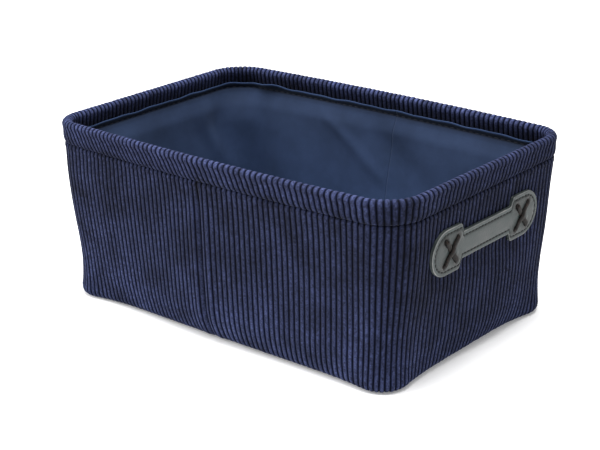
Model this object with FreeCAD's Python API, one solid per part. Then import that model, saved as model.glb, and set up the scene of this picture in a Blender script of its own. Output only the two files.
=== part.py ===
"""Fabric storage bin: an open basket of corduroy round a wire rim, in millimetres.

The frame stands the bin on the plane Z = 0, with its origin under the middle of the base,
+X along its length and +Z up.  Layers are counted inward from the outer face of the wall:
corduroy, felt interlining, lining.  A level is a pair (height, inset), where the inset is
the distance inward from the outer face of the wall at that height.
"""
import FreeCAD
import Part
import math
import os

Vector = FreeCAD.Vector

# Outer shape
RIM_LENGTH = 350.0
RIM_DEPTH = 241.0
BIN_HEIGHT = 153.0
BASE_LENGTH = RIM_LENGTH - 20.0
BASE_DEPTH = RIM_DEPTH - 20.0
RIM_WIDE_CORNER = 34.0
RIM_TIGHT_CORNER = 26.0
BASE_CORNER_RADIUS = 23.0
RIM_BOW = 6.0
BASE_BOW = 1.5
BASE_EDGE_RADIUS = 8.0
BASE_EDGE_STEPS = 4

# Cloth, felt and board
CORDUROY_THICKNESS = 2.2
FELT_THICKNESS = 2.2
LINING_THICKNESS = 0.8
BOARD_THICKNESS = 2.4
BASE_SEAM_INSET = 15.0
SEAM_SHIFT = 9.0

# Rim: wire, the roll of corduroy over it, and the row of stitching below
WIRE_DIAMETER = 4.0
WIRE_CLEARANCE = 0.05
WIRE_END_GAP = 1.0
SLEEVE_LENGTH = 30.0
SLEEVE_WALL = 0.6
SLEEVE_CLEARANCE = 0.1
ROLL_OVERHANG = 0.4
ROLL_STEPS = 5
ROLL_SHOULDER = math.radians(65)
ROLL_CREST_WIDTH = 1.6
STITCH_DROP = 18.5
FACING_DROP = 29.0
LINING_HEM_DROP = 14.0
FELT_TOP_CLEARANCE = 0.5
STITCH_PITCH = 6.5
STITCH_LENGTH = 4.2
THREAD_THICKNESS = 0.6
THREAD_CLEARANCE = 0.1

# Handle: two layers of imitation leather, laced on through a patch behind the corduroy
HANDLE_HEIGHT = BIN_HEIGHT - 53.0
HANDLE_SHIFT = 1.5
HANDLE_LENGTH = 142.0
STRAP_LENGTH = 68.0
STRAP_WIDTH = 21.7
PAD_WIDTH = 36.4
TOP_LEATHER_THICKNESS = 1.6
BACKING_THICKNESS = 1.4
LAYER_CLEARANCE = 0.05
LACE_WIDTH = 3.0
LACE_THICKNESS = 1.2
LACE_HOLE_DIAMETER = 3.0
LACE_HOLE_CLEARANCE = 0.2
LACE_HOLE_EDGE = 6.0
LACE_HOLE_SPACING = 16.0
LACE_HOLE_RISE = 20.0
PATCH_MARGIN = 4.5
PATCH_THICKNESS = 0.8
PATCH_WINDOW_MARGIN = 1.0
HANDLE_STITCH_INSET = 3.3
HANDLE_STITCH_PITCH = 4.4
HANDLE_STITCH_LENGTH = 3.0

# Sizes that follow from those above
ROLL_RADIUS = WIRE_DIAMETER / 2 + CORDUROY_THICKNESS
ROLL_HEIGHT = BIN_HEIGHT - ROLL_RADIUS
ROLL_INSET = ROLL_RADIUS - ROLL_OVERHANG
STITCH_HEIGHT = BIN_HEIGHT - STITCH_DROP
FACING_BOTTOM = BIN_HEIGHT - FACING_DROP
LINING_TOP = BIN_HEIGHT - LINING_HEM_DROP
FELT_TOP = FACING_BOTTOM - FELT_TOP_CLEARANCE
BOARD_BOTTOM = CORDUROY_THICKNESS
BOARD_TOP = BOARD_BOTTOM + BOARD_THICKNESS
FELT_INSET = CORDUROY_THICKNESS
FACING_INSET = 2 * CORDUROY_THICKNESS
LINING_INSET = CORDUROY_THICKNESS + max(FELT_THICKNESS, CORDUROY_THICKNESS)
HEM_INSIDE_INSET = FACING_INSET + LINING_THICKNESS
BIG = 2 * (RIM_LENGTH + RIM_DEPTH + BIN_HEIGHT)


def between(low, high, share):
    """The value a share of the way from low to high."""
    return low + (high - low) * share


def outline(height, inset):
    """The plan outline at a height: straight ends, long sides bowed as arcs, round corners.

    The wire's hoop is a little out of square, so the front right and back left corners are
    rounder at the rim than the other two.
    """
    share = height / ROLL_HEIGHT
    half_length = between(BASE_LENGTH, RIM_LENGTH - 2 * ROLL_OVERHANG, share) / 2
    half_depth = between(BASE_DEPTH, RIM_DEPTH - 2 * ROLL_OVERHANG, share) / 2
    bow = between(BASE_BOW, RIM_BOW, share)
    side_radius = (half_length**2 + bow**2) / (2 * bow) - inset
    half_length -= inset
    half_depth -= inset
    side_centre = half_depth - side_radius

    def corner(sign_x, sign_y):
        rim_radius = RIM_TIGHT_CORNER if sign_x == sign_y else RIM_WIDE_CORNER
        radius = between(BASE_CORNER_RADIUS, rim_radius, share) - inset
        corner_x = half_length - radius
        corner_y = side_centre + math.sqrt((side_radius - radius) ** 2 - corner_x**2)
        turn = math.atan2(corner_y - side_centre, corner_x)
        end_point = Vector(sign_x * half_length, sign_y * corner_y, height)
        middle = Vector(sign_x * (corner_x + radius * math.cos(turn / 2)),
                        sign_y * (corner_y + radius * math.sin(turn / 2)), height)
        side_point = Vector(sign_x * side_radius * math.cos(turn),
                            sign_y * (side_centre + side_radius * math.sin(turn)), height)
        return end_point, middle, side_point

    back_right = corner(1, 1)
    back_left = corner(-1, 1)
    front_left = corner(-1, -1)
    front_right = corner(1, -1)
    back_middle = Vector(0, half_depth, height)
    front_middle = Vector(0, -half_depth, height)
    edges = [
        Part.LineSegment(front_right[0], back_right[0]).toShape(),
        Part.Arc(*back_right).toShape(),
        Part.Arc(back_right[2], back_middle, back_left[2]).toShape(),
        Part.Arc(*reversed(back_left)).toShape(),
        Part.LineSegment(back_left[0], front_left[0]).toShape(),
        Part.Arc(*front_left).toShape(),
        Part.Arc(front_left[2], front_middle, front_right[2]).toShape(),
        Part.Arc(*reversed(front_right)).toShape(),
    ]
    return Part.Wire(edges)


def block(levels):
    """A closed solid through the outlines at the given levels, straight between them."""
    sections = [outline(height, inset) for height, inset in levels]
    return Part.makeLoft(sections, True, True)


def rounded_levels(floor, inset):
    """Levels that turn a quarter round from the flat floor up into the wall.

    The turn tightens with each layer inward.
    """
    radius = BASE_EDGE_RADIUS**2 / (BASE_EDGE_RADIUS + floor)
    levels = []
    for step in range(BASE_EDGE_STEPS + 1):
        angle = math.pi / 2 * step / BASE_EDGE_STEPS
        height = floor + radius * (1 - math.cos(angle))
        levels.append((height, inset + radius * (1 - math.sin(angle))))
    return levels


def slab(low, high):
    """Everything between two heights."""
    return Part.makeBox(BIG, BIG, high - low, Vector(-BIG / 2, -BIG / 2, low))


def seam_half(side):
    """Everything on one side of the upright plane through both side seams."""
    half = Part.makeBox(BIG / 2, BIG, BIG, Vector(0, -BIG / 2, -BIG / 2))
    lean = math.degrees(math.atan2(2 * SEAM_SHIFT, RIM_DEPTH))
    turn = -lean if side == "right" else 180 - lean
    half.rotate(Vector(0, 0, 0), Vector(0, 0, 1), turn)
    return half


def base_area(low, high):
    """The flat middle of the base, inside the seam that joins it to the walls."""
    face = Part.Face(outline(0, BASE_SEAM_INSET))
    face.translate(Vector(0, 0, low))
    return face.extrude(Vector(0, 0, high - low))


def rim_path():
    """The closed centre line of the rim wire."""
    return outline(ROLL_HEIGHT, ROLL_INSET)


def pipe(radius):
    """A solid bar of round section along the rim's centre line."""
    path = rim_path()
    start = path.OrderedVertexes[0].Point
    circle = Part.makeCircle(radius, start, Vector(0, 1, 0))
    return path.makePipeShell([Part.Wire(circle)], True, False)


def sleeve_bar(radius, length):
    """A straight bar along X about the rim's centre line, in the middle of the back."""
    back = RIM_DEPTH / 2 - ROLL_RADIUS
    return Part.makeCylinder(radius, length, Vector(-length / 2, back, ROLL_HEIGHT), Vector(1, 0, 0))


def rim_wire():
    """The steel hoop, with its two ends meeting inside the sleeve."""
    gap = sleeve_bar(WIRE_DIAMETER, WIRE_END_GAP)
    return pipe(WIRE_DIAMETER / 2).cut(gap)


def rim_wire_sleeve():
    """The crimped tube that joins the wire's ends."""
    bore = WIRE_DIAMETER / 2 + SLEEVE_CLEARANCE
    return sleeve_bar(bore + SLEEVE_WALL, SLEEVE_LENGTH).cut(sleeve_bar(bore, SLEEVE_LENGTH))


def lace_hole_centres(end):
    """Places of a pad's four lace holes, as (along the handle, up the wall)."""
    inner = STRAP_LENGTH / 2 + LACE_HOLE_EDGE
    across = (inner, inner + LACE_HOLE_SPACING)
    return [(end * u, v) for u in across for v in (-LACE_HOLE_RISE / 2, LACE_HOLE_RISE / 2)]


def on_wall(shape, side):
    """Move a shape from the handle's own frame onto an end wall.

    In the handle's frame +Y runs along the handle, +Z up the wall and +X straight out of
    it, with the outer face of the wall at X = 0.
    """
    half_rise = (RIM_LENGTH / 2 - ROLL_OVERHANG - BASE_LENGTH / 2) / ROLL_HEIGHT
    lean = math.degrees(math.atan(half_rise))
    moved = shape.copy()
    moved.rotate(Vector(0, 0, 0), Vector(0, 1, 0), lean)
    moved.translate(Vector(BASE_LENGTH / 2 + half_rise * HANDLE_HEIGHT, HANDLE_SHIFT, HANDLE_HEIGHT))
    if side == "left":
        moved.rotate(Vector(0, 0, 0), Vector(0, 0, 1), 180)
    return moved


def lace_holes():
    """Bars that cut the lace holes of both pads, in the handle's frame."""
    bars = []
    for end in (-1, 1):
        for u, v in lace_hole_centres(end):
            start = Vector(-CORDUROY_THICKNESS - FELT_THICKNESS, u, v)
            length = 2 * (CORDUROY_THICKNESS + FELT_THICKNESS)
            bars.append(Part.makeCylinder(LACE_HOLE_DIAMETER / 2, length, start, Vector(1, 0, 0)))
    return Part.makeCompound(bars)


def handle_outline(inset):
    """The handle's outline: a strap between two pads with square shoulders and round ends."""
    strap = STRAP_WIDTH / 2 - inset
    pad = PAD_WIDTH / 2 - inset
    shoulder = STRAP_LENGTH / 2 + inset
    tip = HANDLE_LENGTH / 2 - inset
    centre = tip - pad
    edges = []
    for end in (1, -1):
        low_corner = Vector(0, end * shoulder, -end * pad)
        low_arc = Vector(0, end * centre, -end * pad)
        high_arc = Vector(0, end * centre, end * pad)
        high_corner = Vector(0, end * shoulder, end * pad)
        high_neck = Vector(0, end * shoulder, end * strap)
        far_neck = Vector(0, -end * shoulder, end * strap)
        low_neck = Vector(0, end * shoulder, -end * strap)
        edges.append(Part.LineSegment(low_neck, low_corner).toShape())
        edges.append(Part.LineSegment(low_corner, low_arc).toShape())
        edges.append(Part.Arc(low_arc, Vector(0, end * tip, 0), high_arc).toShape())
        edges.append(Part.LineSegment(high_arc, high_corner).toShape())
        edges.append(Part.LineSegment(high_corner, high_neck).toShape())
        edges.append(Part.LineSegment(high_neck, far_neck).toShape())
    return Part.Wire(edges)


def leather_layer(low, thickness, side):
    """One flat layer of the handle, with its lace holes, from low outward."""
    face = Part.Face(handle_outline(0))
    face.translate(Vector(low, 0, 0))
    return on_wall(face.extrude(Vector(thickness, 0, 0)).cut(lace_holes()), side)


def handle_backing(side):
    """The layer of leather that lies against the wall."""
    return leather_layer(LAYER_CLEARANCE, BACKING_THICKNESS, side)


def handle_top_leather(side):
    """The outer layer of leather, sewn to the backing round its edge."""
    return leather_layer(LAYER_CLEARANCE + BACKING_THICKNESS, TOP_LEATHER_THICKNESS, side)


def handle_face():
    """How far the handle's outer face stands off the wall."""
    return LAYER_CLEARANCE + BACKING_THICKNESS + TOP_LEATHER_THICKNESS


def stitch_row(path, pitch, length, thickness, outward):
    """Short straight stitches along a closed path, each standing off it by thickness."""
    count = round(path.Length / pitch)
    points = path.discretize(Number=2 * count + 1)
    stitches = []
    for index in range(count):
        before = points[2 * index]
        after = points[2 * index + 2]
        middle = points[2 * index + 1]
        along = (after - before).normalize()
        normal = outward(middle, along)
        stitch = Part.makeBox(length, thickness, thickness)
        stitch.translate(Vector(-length / 2, THREAD_CLEARANCE, -thickness / 2))
        across = along.cross(normal)
        turn = FreeCAD.Matrix(
            along.x, normal.x, across.x, middle.x,
            along.y, normal.y, across.y, middle.y,
            along.z, normal.z, across.z, middle.z,
            0, 0, 0, 1)
        stitch.Placement = FreeCAD.Placement(turn).multiply(stitch.Placement)
        stitches.append(stitch)
    return Part.makeCompound(stitches)


def handle_stitching(side):
    """The row of thread round the handle's edge."""
    path = handle_outline(HANDLE_STITCH_INSET)
    path.translate(Vector(handle_face(), 0, 0))
    row = stitch_row(path, HANDLE_STITCH_PITCH, HANDLE_STITCH_LENGTH, THREAD_THICKNESS,
                     lambda point, along: Vector(1, 0, 0))
    return on_wall(row, side)


def flat_strand(start, finish, low, high, lift):
    """A strand between two holes, its thickness from low to high, lifted at its middle."""
    along = finish - start
    length = along.Length
    shape = [(0, low), (length / 2, low + lift), (length, low),
             (length, high), (length / 2, high + lift), (0, high)]
    points = [Vector(distance, 0, stand_off) for distance, stand_off in shape]
    face = Part.Face(Part.makePolygon(points + points[:1]))
    strand = face.extrude(Vector(0, LACE_WIDTH, 0))
    strand.translate(Vector(0, -LACE_WIDTH / 2, 0))
    unit = along.normalize()
    across = Vector(1, 0, 0).cross(unit)
    turn = FreeCAD.Matrix(
        0, 0, 1, 0,
        unit.y, across.y, 0, start.y,
        unit.z, across.z, 0, start.z,
        0, 0, 0, 1)
    strand.Placement = FreeCAD.Placement(turn).multiply(strand.Placement)
    return strand


def lace(side, end):
    """One pad's lace: crossed over the pad, down its four holes and along the patch behind."""
    behind = -CORDUROY_THICKNESS - PATCH_THICKNESS - 2 * LAYER_CLEARANCE
    leg_start = -CORDUROY_THICKNESS - FELT_THICKNESS + LAYER_CLEARANCE
    in_front = handle_face() + LAYER_CLEARANCE
    low_inner, high_inner, low_outer, high_outer = [
        Vector(0, u, v) for u, v in lace_hole_centres(end)]
    pieces = [
        flat_strand(low_inner, high_outer, in_front, in_front + LACE_THICKNESS, 0),
        flat_strand(high_inner, low_outer, in_front, in_front + LACE_THICKNESS, LACE_THICKNESS),
        flat_strand(low_inner, high_inner, leg_start, behind, 0),
        flat_strand(low_outer, high_outer, leg_start, behind, 0),
    ]
    leg_length = in_front + LACE_THICKNESS - leg_start
    leg_radius = LACE_HOLE_DIAMETER / 2 - LACE_HOLE_CLEARANCE
    for hole in (low_inner, high_inner, low_outer, high_outer):
        start = hole + Vector(leg_start, 0, 0)
        pieces.append(Part.makeCylinder(leg_radius, leg_length, start, Vector(1, 0, 0)))
    return on_wall(pieces[0].multiFuse(pieces[1:]).removeSplitter(), side)


def patch_box(end, margin, thickness):
    """A flat box behind the corduroy, reaching a margin past the pad's lace holes."""
    inner = STRAP_LENGTH / 2 + LACE_HOLE_EDGE
    low = inner - margin if end > 0 else -inner - LACE_HOLE_SPACING - margin
    width = LACE_HOLE_SPACING + 2 * margin
    height = LACE_HOLE_RISE + 2 * margin
    outer_face = -CORDUROY_THICKNESS - LAYER_CLEARANCE
    return Part.makeBox(thickness, width, height, Vector(outer_face - thickness, low, -height / 2))


def lace_patch(side, end):
    """The firm patch behind the corduroy that the lace pulls against."""
    return on_wall(patch_box(end, PATCH_MARGIN, PATCH_THICKNESS).cut(lace_holes()), side)


def patch_window(side, end):
    """The opening in the felt that makes room for a patch and the lace behind it."""
    window = patch_box(end, PATCH_MARGIN + PATCH_WINDOW_MARGIN, FELT_THICKNESS + CORDUROY_THICKNESS)
    window.translate(Vector(CORDUROY_THICKNESS / 2, 0, 0))
    return on_wall(window, side)


def roll_levels(sign):
    """Levels up the outer (sign -1) or inner (sign 1) half of the roll, to its flattened crest."""
    meeting = -math.acos(ROLL_INSET / ROLL_RADIUS)
    levels = []
    for step in range(ROLL_STEPS + 1):
        angle = between(meeting, ROLL_SHOULDER, step / ROLL_STEPS)
        height = ROLL_HEIGHT + ROLL_RADIUS * math.sin(angle)
        levels.append((height, ROLL_INSET + sign * ROLL_RADIUS * math.cos(angle)))
    levels.append((BIN_HEIGHT, ROLL_INSET + sign * ROLL_CREST_WIDTH / 2))
    return levels


def corduroy_shell():
    """All the outer cloth: wall, roll over the wire, and facing down the inside.

    The two layers press together between the wire and the stitching, so the neck is solid.
    """
    outside = block(rounded_levels(0, 0) + roll_levels(-1))
    felt_room = block(rounded_levels(BOARD_BOTTOM, FELT_INSET) + [(FACING_BOTTOM, FELT_INSET)])
    opening = block([(FACING_BOTTOM, FACING_INSET), (STITCH_HEIGHT, FACING_INSET)] + roll_levels(1))
    tunnel = pipe(WIRE_DIAMETER / 2 + WIRE_CLEARANCE)
    sleeve_radius = WIRE_DIAMETER / 2 + 2 * SLEEVE_CLEARANCE + SLEEVE_WALL
    sleeve_room = sleeve_bar(sleeve_radius, SLEEVE_LENGTH + WIRE_END_GAP)
    cloth = outside.cut(felt_room).cut(opening).cut(tunnel).cut(sleeve_room)
    for side in ("left", "right"):
        cloth = cloth.cut(on_wall(lace_holes(), side))
    return cloth


def corduroy_panel(cloth, side):
    """Half of the outer cloth, from one side seam round an end to the other."""
    return cloth.cut(base_area(-1, BOARD_BOTTOM)).common(seam_half(side))


def corduroy_base(cloth):
    """The piece of corduroy under the board."""
    return cloth.common(base_area(-1, BOARD_BOTTOM))


def base_board():
    """The stiff board that keeps the base flat."""
    room = block(rounded_levels(BOARD_BOTTOM, FELT_INSET) + [(FELT_TOP, FELT_INSET)])
    return room.common(slab(BOARD_BOTTOM, BOARD_TOP))


def felt_shell():
    """The interlining between the wall's corduroy and its lining."""
    outside = block(rounded_levels(BOARD_BOTTOM, FELT_INSET) + [(FELT_TOP, FELT_INSET)])
    felt_inside = FELT_INSET + FELT_THICKNESS
    inside = block(rounded_levels(BOARD_TOP, felt_inside) + [(FELT_TOP, felt_inside)])
    felt = outside.cut(inside).common(slab(BOARD_TOP, FELT_TOP))
    for side in ("left", "right"):
        for end in (-1, 1):
            felt = felt.cut(patch_window(side, end))
    return felt


def lining_shell():
    """The inner bag of smooth cloth, its hem lapped over the corduroy's facing."""
    neck_height, neck_inset = roll_levels(1)[0]
    hem_share = (LINING_TOP - STITCH_HEIGHT) / (neck_height - STITCH_HEIGHT)
    hem_inset = between(FACING_INSET, neck_inset, hem_share)
    outside = block(rounded_levels(BOARD_TOP, LINING_INSET)
                    + [(FELT_TOP, LINING_INSET), (STITCH_HEIGHT, FACING_INSET),
                       (LINING_TOP, hem_inset)])
    inside = block(rounded_levels(BOARD_TOP + LINING_THICKNESS, LINING_INSET + LINING_THICKNESS)
                   + [(FELT_TOP, LINING_INSET + LINING_THICKNESS), (STITCH_HEIGHT, HEM_INSIDE_INSET),
                      (LINING_TOP, hem_inset + LINING_THICKNESS)])
    return outside.cut(inside)


def lining_base_area():
    """The flat middle of the lining's floor."""
    return base_area(BOARD_TOP - 1, BOARD_TOP + LINING_THICKNESS + 1)


def rim_topstitch(inset, outward_sign):
    """The row of stitching round the rim, on the face of the wall at the given inset."""
    def outward(point, along):
        return along.cross(Vector(0, 0, 1)) * outward_sign
    return stitch_row(outline(STITCH_HEIGHT, inset), STITCH_PITCH, STITCH_LENGTH,
                      THREAD_THICKNESS, outward)


def all_parts():
    """Every node's name and shape."""
    cloth = corduroy_shell()
    felt = felt_shell()
    lining = lining_shell()
    yield "rim_wire", rim_wire()
    yield "rim_wire_sleeve", rim_wire_sleeve()
    yield "corduroy_base", corduroy_base(cloth)
    yield "base_board", base_board()
    yield "lining_base", lining.common(lining_base_area())
    yield "rim_topstitch_outside", rim_topstitch(0, 1)
    yield "rim_topstitch_inside", rim_topstitch(HEM_INSIDE_INSET, -1)
    for side in ("left", "right"):
        yield "corduroy_panel_" + side, corduroy_panel(cloth, side)
        yield "felt_interlining_" + side, felt.common(seam_half(side))
        yield "lining_panel_" + side, lining.cut(lining_base_area()).common(seam_half(side))
        yield "handle_backing_" + side, handle_backing(side)
        yield "handle_top_leather_" + side, handle_top_leather(side)
        yield "handle_stitching_" + side, handle_stitching(side)
        for name, end in (("first", -1), ("second", 1)):
            yield "lace_" + side + "_" + name, lace(side, end)
            yield "lace_patch_" + side + "_" + name, lace_patch(side, end)


os.makedirs("parts", exist_ok=True)
for node, shape in all_parts():
    shape.exportStep("parts/" + node + ".step")
    if not shape.Solids:
        raise ValueError(node + " has no solid")
    print(node, len(shape.Solids), "solids", round(shape.Volume), "mm3", shape.isValid())
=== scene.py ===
"""Fabric storage bin: the visible cloth, leather, lace and thread over the CAD frame, in metres.

Shapes are worked out in millimetres on whole arrays and put into the meshes in metres.
"""
import math

import bmesh
import bpy
import numpy as np
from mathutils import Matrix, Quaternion, Vector


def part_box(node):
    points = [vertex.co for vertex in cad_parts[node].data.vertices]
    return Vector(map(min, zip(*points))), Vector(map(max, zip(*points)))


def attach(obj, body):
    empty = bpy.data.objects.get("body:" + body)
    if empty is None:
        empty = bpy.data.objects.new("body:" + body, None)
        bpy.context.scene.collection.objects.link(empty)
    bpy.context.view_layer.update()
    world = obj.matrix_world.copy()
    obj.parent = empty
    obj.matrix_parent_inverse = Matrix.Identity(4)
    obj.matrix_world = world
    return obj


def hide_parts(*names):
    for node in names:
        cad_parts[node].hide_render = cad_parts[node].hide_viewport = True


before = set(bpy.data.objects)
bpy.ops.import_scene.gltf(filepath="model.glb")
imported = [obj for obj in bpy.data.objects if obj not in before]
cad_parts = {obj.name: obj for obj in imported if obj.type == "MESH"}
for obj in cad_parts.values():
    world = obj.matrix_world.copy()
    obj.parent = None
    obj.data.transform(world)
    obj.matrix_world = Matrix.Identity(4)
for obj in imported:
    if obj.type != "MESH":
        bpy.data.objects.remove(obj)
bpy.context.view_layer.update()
MM = 0.001

# ---------------------------- table, light and camera
# A pale paper floor under the bin, a large soft light overhead, a second one in front and to
# the left, and a long lens above the front right corner.
BODY = "root"
CAMERA_AZIMUTH = math.radians(39.46)
CAMERA_ELEVATION = math.radians(20.6)
CAMERA_DISTANCE = 1.244
CAMERA_TARGET = Vector((0.0026, -0.0104, 0.070))
CAMERA_LENS = 91.7
CAMERA_ROLL = math.radians(-0.55)

scene = bpy.context.scene
scene.view_settings.view_transform = "Standard"
camera = bpy.data.objects.new("camera", bpy.data.cameras.new("camera"))
scene.collection.objects.link(camera)
camera.data.lens = CAMERA_LENS
camera.data.clip_start = 0.05
away = Vector((math.sin(CAMERA_AZIMUTH) * math.cos(CAMERA_ELEVATION),
               -math.cos(CAMERA_AZIMUTH) * math.cos(CAMERA_ELEVATION),
               math.sin(CAMERA_ELEVATION)))
camera.location = CAMERA_TARGET + away * CAMERA_DISTANCE
camera.rotation_mode = "QUATERNION"
camera.rotation_quaternion = (-away).to_track_quat("-Z", "Y") @ Quaternion((0, 0, 1), CAMERA_ROLL)
scene.camera = camera


def new_material(name, constants):
    """A Principled material with its constant values on its own sockets, and its node tree."""
    material = bpy.data.materials.new(name)
    material.use_nodes = True
    shader = material.node_tree.nodes["Principled BSDF"]
    for socket, value in constants.items():
        shader.inputs[socket].default_value = value
    return material, material.node_tree, shader


def add_light(name, place, target, size, power):
    """A square soft light at a place, facing a target."""
    data = bpy.data.lights.new(name, "AREA")
    data.shape = "SQUARE"
    data.size = size
    data.energy = power
    light = bpy.data.objects.new(name, data)
    light.location = place
    light.rotation_euler = (Vector(target) - Vector(place)).to_track_quat("-Z", "Y").to_euler()
    scene.collection.objects.link(light)


WHITE = (1, 1, 1, 1)
FLOOR_REACH = 6.0
floor_mesh = bpy.data.meshes.new("floor")
floor_corners = [(FLOOR_REACH * x, FLOOR_REACH * y, 0) for x, y in ((-1, -1), (1, -1), (1, 1), (-1, 1))]
floor_mesh.from_pydata(floor_corners, [], [(0, 1, 2, 3)])
floor = bpy.data.objects.new("floor", floor_mesh)
scene.collection.objects.link(floor)
floor.data.materials.append(new_material("pale_paper", {
    "Base Color": (0.9, 0.9, 0.9, 1), "Roughness": 0.9,
    "Emission Color": WHITE, "Emission Strength": 0.17})[0])

world = bpy.data.worlds.new("studio")
scene.world = world
world.use_nodes = True
world.node_tree.nodes["Background"].inputs["Color"].default_value = WHITE
world.node_tree.nodes["Background"].inputs["Strength"].default_value = 0.60
add_light("overhead_light", (0.05, -0.1, 1.55), (0, 0, 0.05), 1.0, 42)
add_light("front_light", (-1.0, -1.0, 1.0), (-0.1, 0, 0.05), 1.0, 16)

# ---------------------------- corduroy wall panels
# Two panels of navy wide-wale corduroy, sewn together down the middle of each long side.
# Each is one cloth: in from the base seam, up the wall, over the rim wire and down inside
# as a facing.  The ribs run with the cloth, and twist aside where it is pulled over the wire.
RIM_HALF_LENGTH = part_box("corduroy_panel_right")[1].x / MM
RIM_HALF_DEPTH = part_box("corduroy_panel_right")[1].y / MM
BIN_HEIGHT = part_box("corduroy_panel_right")[1].z / MM
BASE_HALF_LENGTH = 165.0
BASE_HALF_DEPTH = 110.5
RIM_TIGHT_CORNER = 26.0
RIM_WIDE_CORNER = 34.0
BASE_CORNER = 23.0
BASE_WIDE_CORNER = 28.0
RIM_BOW = 6.0
BASE_BOW = 1.5
BASE_EDGE_TURN = 6.0
TUCK_HEIGHT = 32.0
WAIST_HEIGHT = 42.0
CORNER_SPREAD = 0.13
CLOTH = 2.2
RIB_HEIGHT = 1.15
WIRE_RADIUS = 2.0
ROLL_RADIUS = WIRE_RADIUS + CLOTH
ROLL_OVERHANG = 0.4
ROLL_HEIGHT = BIN_HEIGHT - ROLL_RADIUS
ROLL_INSET = ROLL_RADIUS - ROLL_OVERHANG
STITCH_HEIGHT = BIN_HEIGHT - 18.5
FACING_BOTTOM = BIN_HEIGHT - 29.0
BASE_SEAM_INSET = 15.0
SEAM_SHIFT = 9.0
HANDLE_HEIGHT = 100.0
HANDLE_SHIFT = 1.5
HANDLE_HALF_LENGTH = 71.0
PAD_HALF = 18.2
HANDLE_PRESS = 0.9
RIBS_LEFT = 122
RIBS_RIGHT = 110
RIB_SAMPLES = np.array([0, 0.08, 0.22, 0.40, 0.60, 0.78, 0.92])
# Width in ribs of the painted shade in the seams' grooves.
SEAM_PAINTED_SHADE_WIDTH = 0.40
# Multipliers for painted light and shade in the corduroy's colour: a painted highlight on the crest,
# painted light at the foot with painted shade up the wall, painted shade on the right end, painted light
# on the cuff and painted shade on the facing past the crest.
CREST_PAINTED_HIGHLIGHT = 1.5
FOOT_PAINTED_LIGHT, WALL_PAINTED_SHADE = 1.55, 0.87
RIGHT_END_PAINTED_SHADE = 0.73
CUFF_PAINTED_LIGHT = 1.38
FACING_PAINTED_SHADE = 0.42
# Factor for the painted shade in the seams' grooves.
SEAM_PAINTED_SHADE = 0.1


def blend_between(low, high, share):
    """The value a share of the way from low to high."""
    return low + (high - low) * share


def smooth(low, high, value):
    """0 below low, 1 above high, and 3t squared - 2t cubed between."""
    t = np.clip((value - low) / (high - low), 0, 1)
    return t * t * (3 - 2 * t)


def outline_sizes(height, inset):
    """Half length, half depth, side bow, and tight and wide corner radius of the outline."""
    share = np.clip(height / ROLL_HEIGHT, 0, 1)
    half_length = blend_between(BASE_HALF_LENGTH, RIM_HALF_LENGTH - ROLL_OVERHANG, share)
    half_depth = blend_between(BASE_HALF_DEPTH, RIM_HALF_DEPTH - ROLL_OVERHANG, share)
    bow = blend_between(BASE_BOW, RIM_BOW, share)
    tight = blend_between(BASE_CORNER, RIM_TIGHT_CORNER, share)
    wide = blend_between(BASE_WIDE_CORNER, RIM_WIDE_CORNER, share)
    return half_length - inset, half_depth - inset, bow, tight - inset, wide - inset


def corner_place(half_length, half_depth, bow, corner):
    """Side radius and centre, corner centre, and the turn of a corner that meets a bowed side."""
    side_radius = (half_length**2 + bow**2) / (2 * bow)
    side_centre = half_depth - side_radius
    corner_x = half_length - corner
    corner_y = side_centre + np.sqrt((side_radius - corner) ** 2 - corner_x**2)
    return side_radius, side_centre, corner_x, corner_y, np.arctan2(corner_y - side_centre, corner_x)


def quarter_runs(corner_index):
    """Lengths round the rim of half a side, a corner, and half an end."""
    sizes = outline_sizes(ROLL_HEIGHT, 0.0)
    corner = sizes[corner_index]
    side_radius, _, _, corner_y, turn = corner_place(*sizes[:3], corner)
    return np.array([side_radius * (math.pi / 2 - turn), corner * turn, corner_y])


TIGHT, WIDE = 3, 4
RIM_RUN = 2 * (quarter_runs(TIGHT).sum() + quarter_runs(WIDE).sum())
CORNER_START, CORNER_END = (np.cumsum(quarter_runs(TIGHT)) / quarter_runs(TIGHT).sum())[:2]


def quarter_share(loop):
    """0 in the middle of a long side and 1 in the middle of an end, with the signs of x and y.

    loop counts once round the rim from the front's middle, towards +X first.
    """
    quarters = np.mod(loop, 1) * 4
    index = np.floor(quarters).astype(int) % 4
    part = quarters - np.floor(quarters)
    part = np.where(index % 2 == 1, 1 - part, part)
    return part, np.where(index < 2, 1.0, -1.0), np.where((index == 1) | (index == 2), 1.0, -1.0)


def plan_point(loop, sizes):
    """Plan place and outward direction: side arc, then corner arc, then straight end.

    The hoop is a little out of square: its front right and back left corners are wide.
    """
    part, sign_x, sign_y = quarter_share(loop)
    found = []
    for corner_index in (TIGHT, WIDE):
        corner = sizes[corner_index]
        side_radius, side_centre, corner_x, corner_y, turn = corner_place(*sizes[:3], corner)
        runs = quarter_runs(corner_index)
        start, end = np.cumsum(runs)[:2] / runs.sum()
        side_angle = math.pi / 2 - (math.pi / 2 - turn) * np.clip(part / start, 0, 1)
        corner_angle = turn * (1 - np.clip((part - start) / (end - start), 0, 1))
        end_part = np.clip((part - end) / (1 - end), 0, 1)
        where = [part < start, part < end]
        x = np.select(where, [side_radius * np.cos(side_angle),
                              corner_x + corner * np.cos(corner_angle)], sizes[0] + 0 * part)
        y = np.select(where, [side_centre + side_radius * np.sin(side_angle),
                              corner_y + corner * np.sin(corner_angle)], corner_y * (1 - end_part))
        found.append((x, y, np.select(where, [side_angle, corner_angle], 0.0)))
    x, y, angle = [np.where(sign_x == sign_y, tight, wide) for tight, wide in zip(*found)]
    return sign_x * x, sign_y * y, sign_x * np.cos(angle), sign_y * np.sin(angle)


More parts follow.
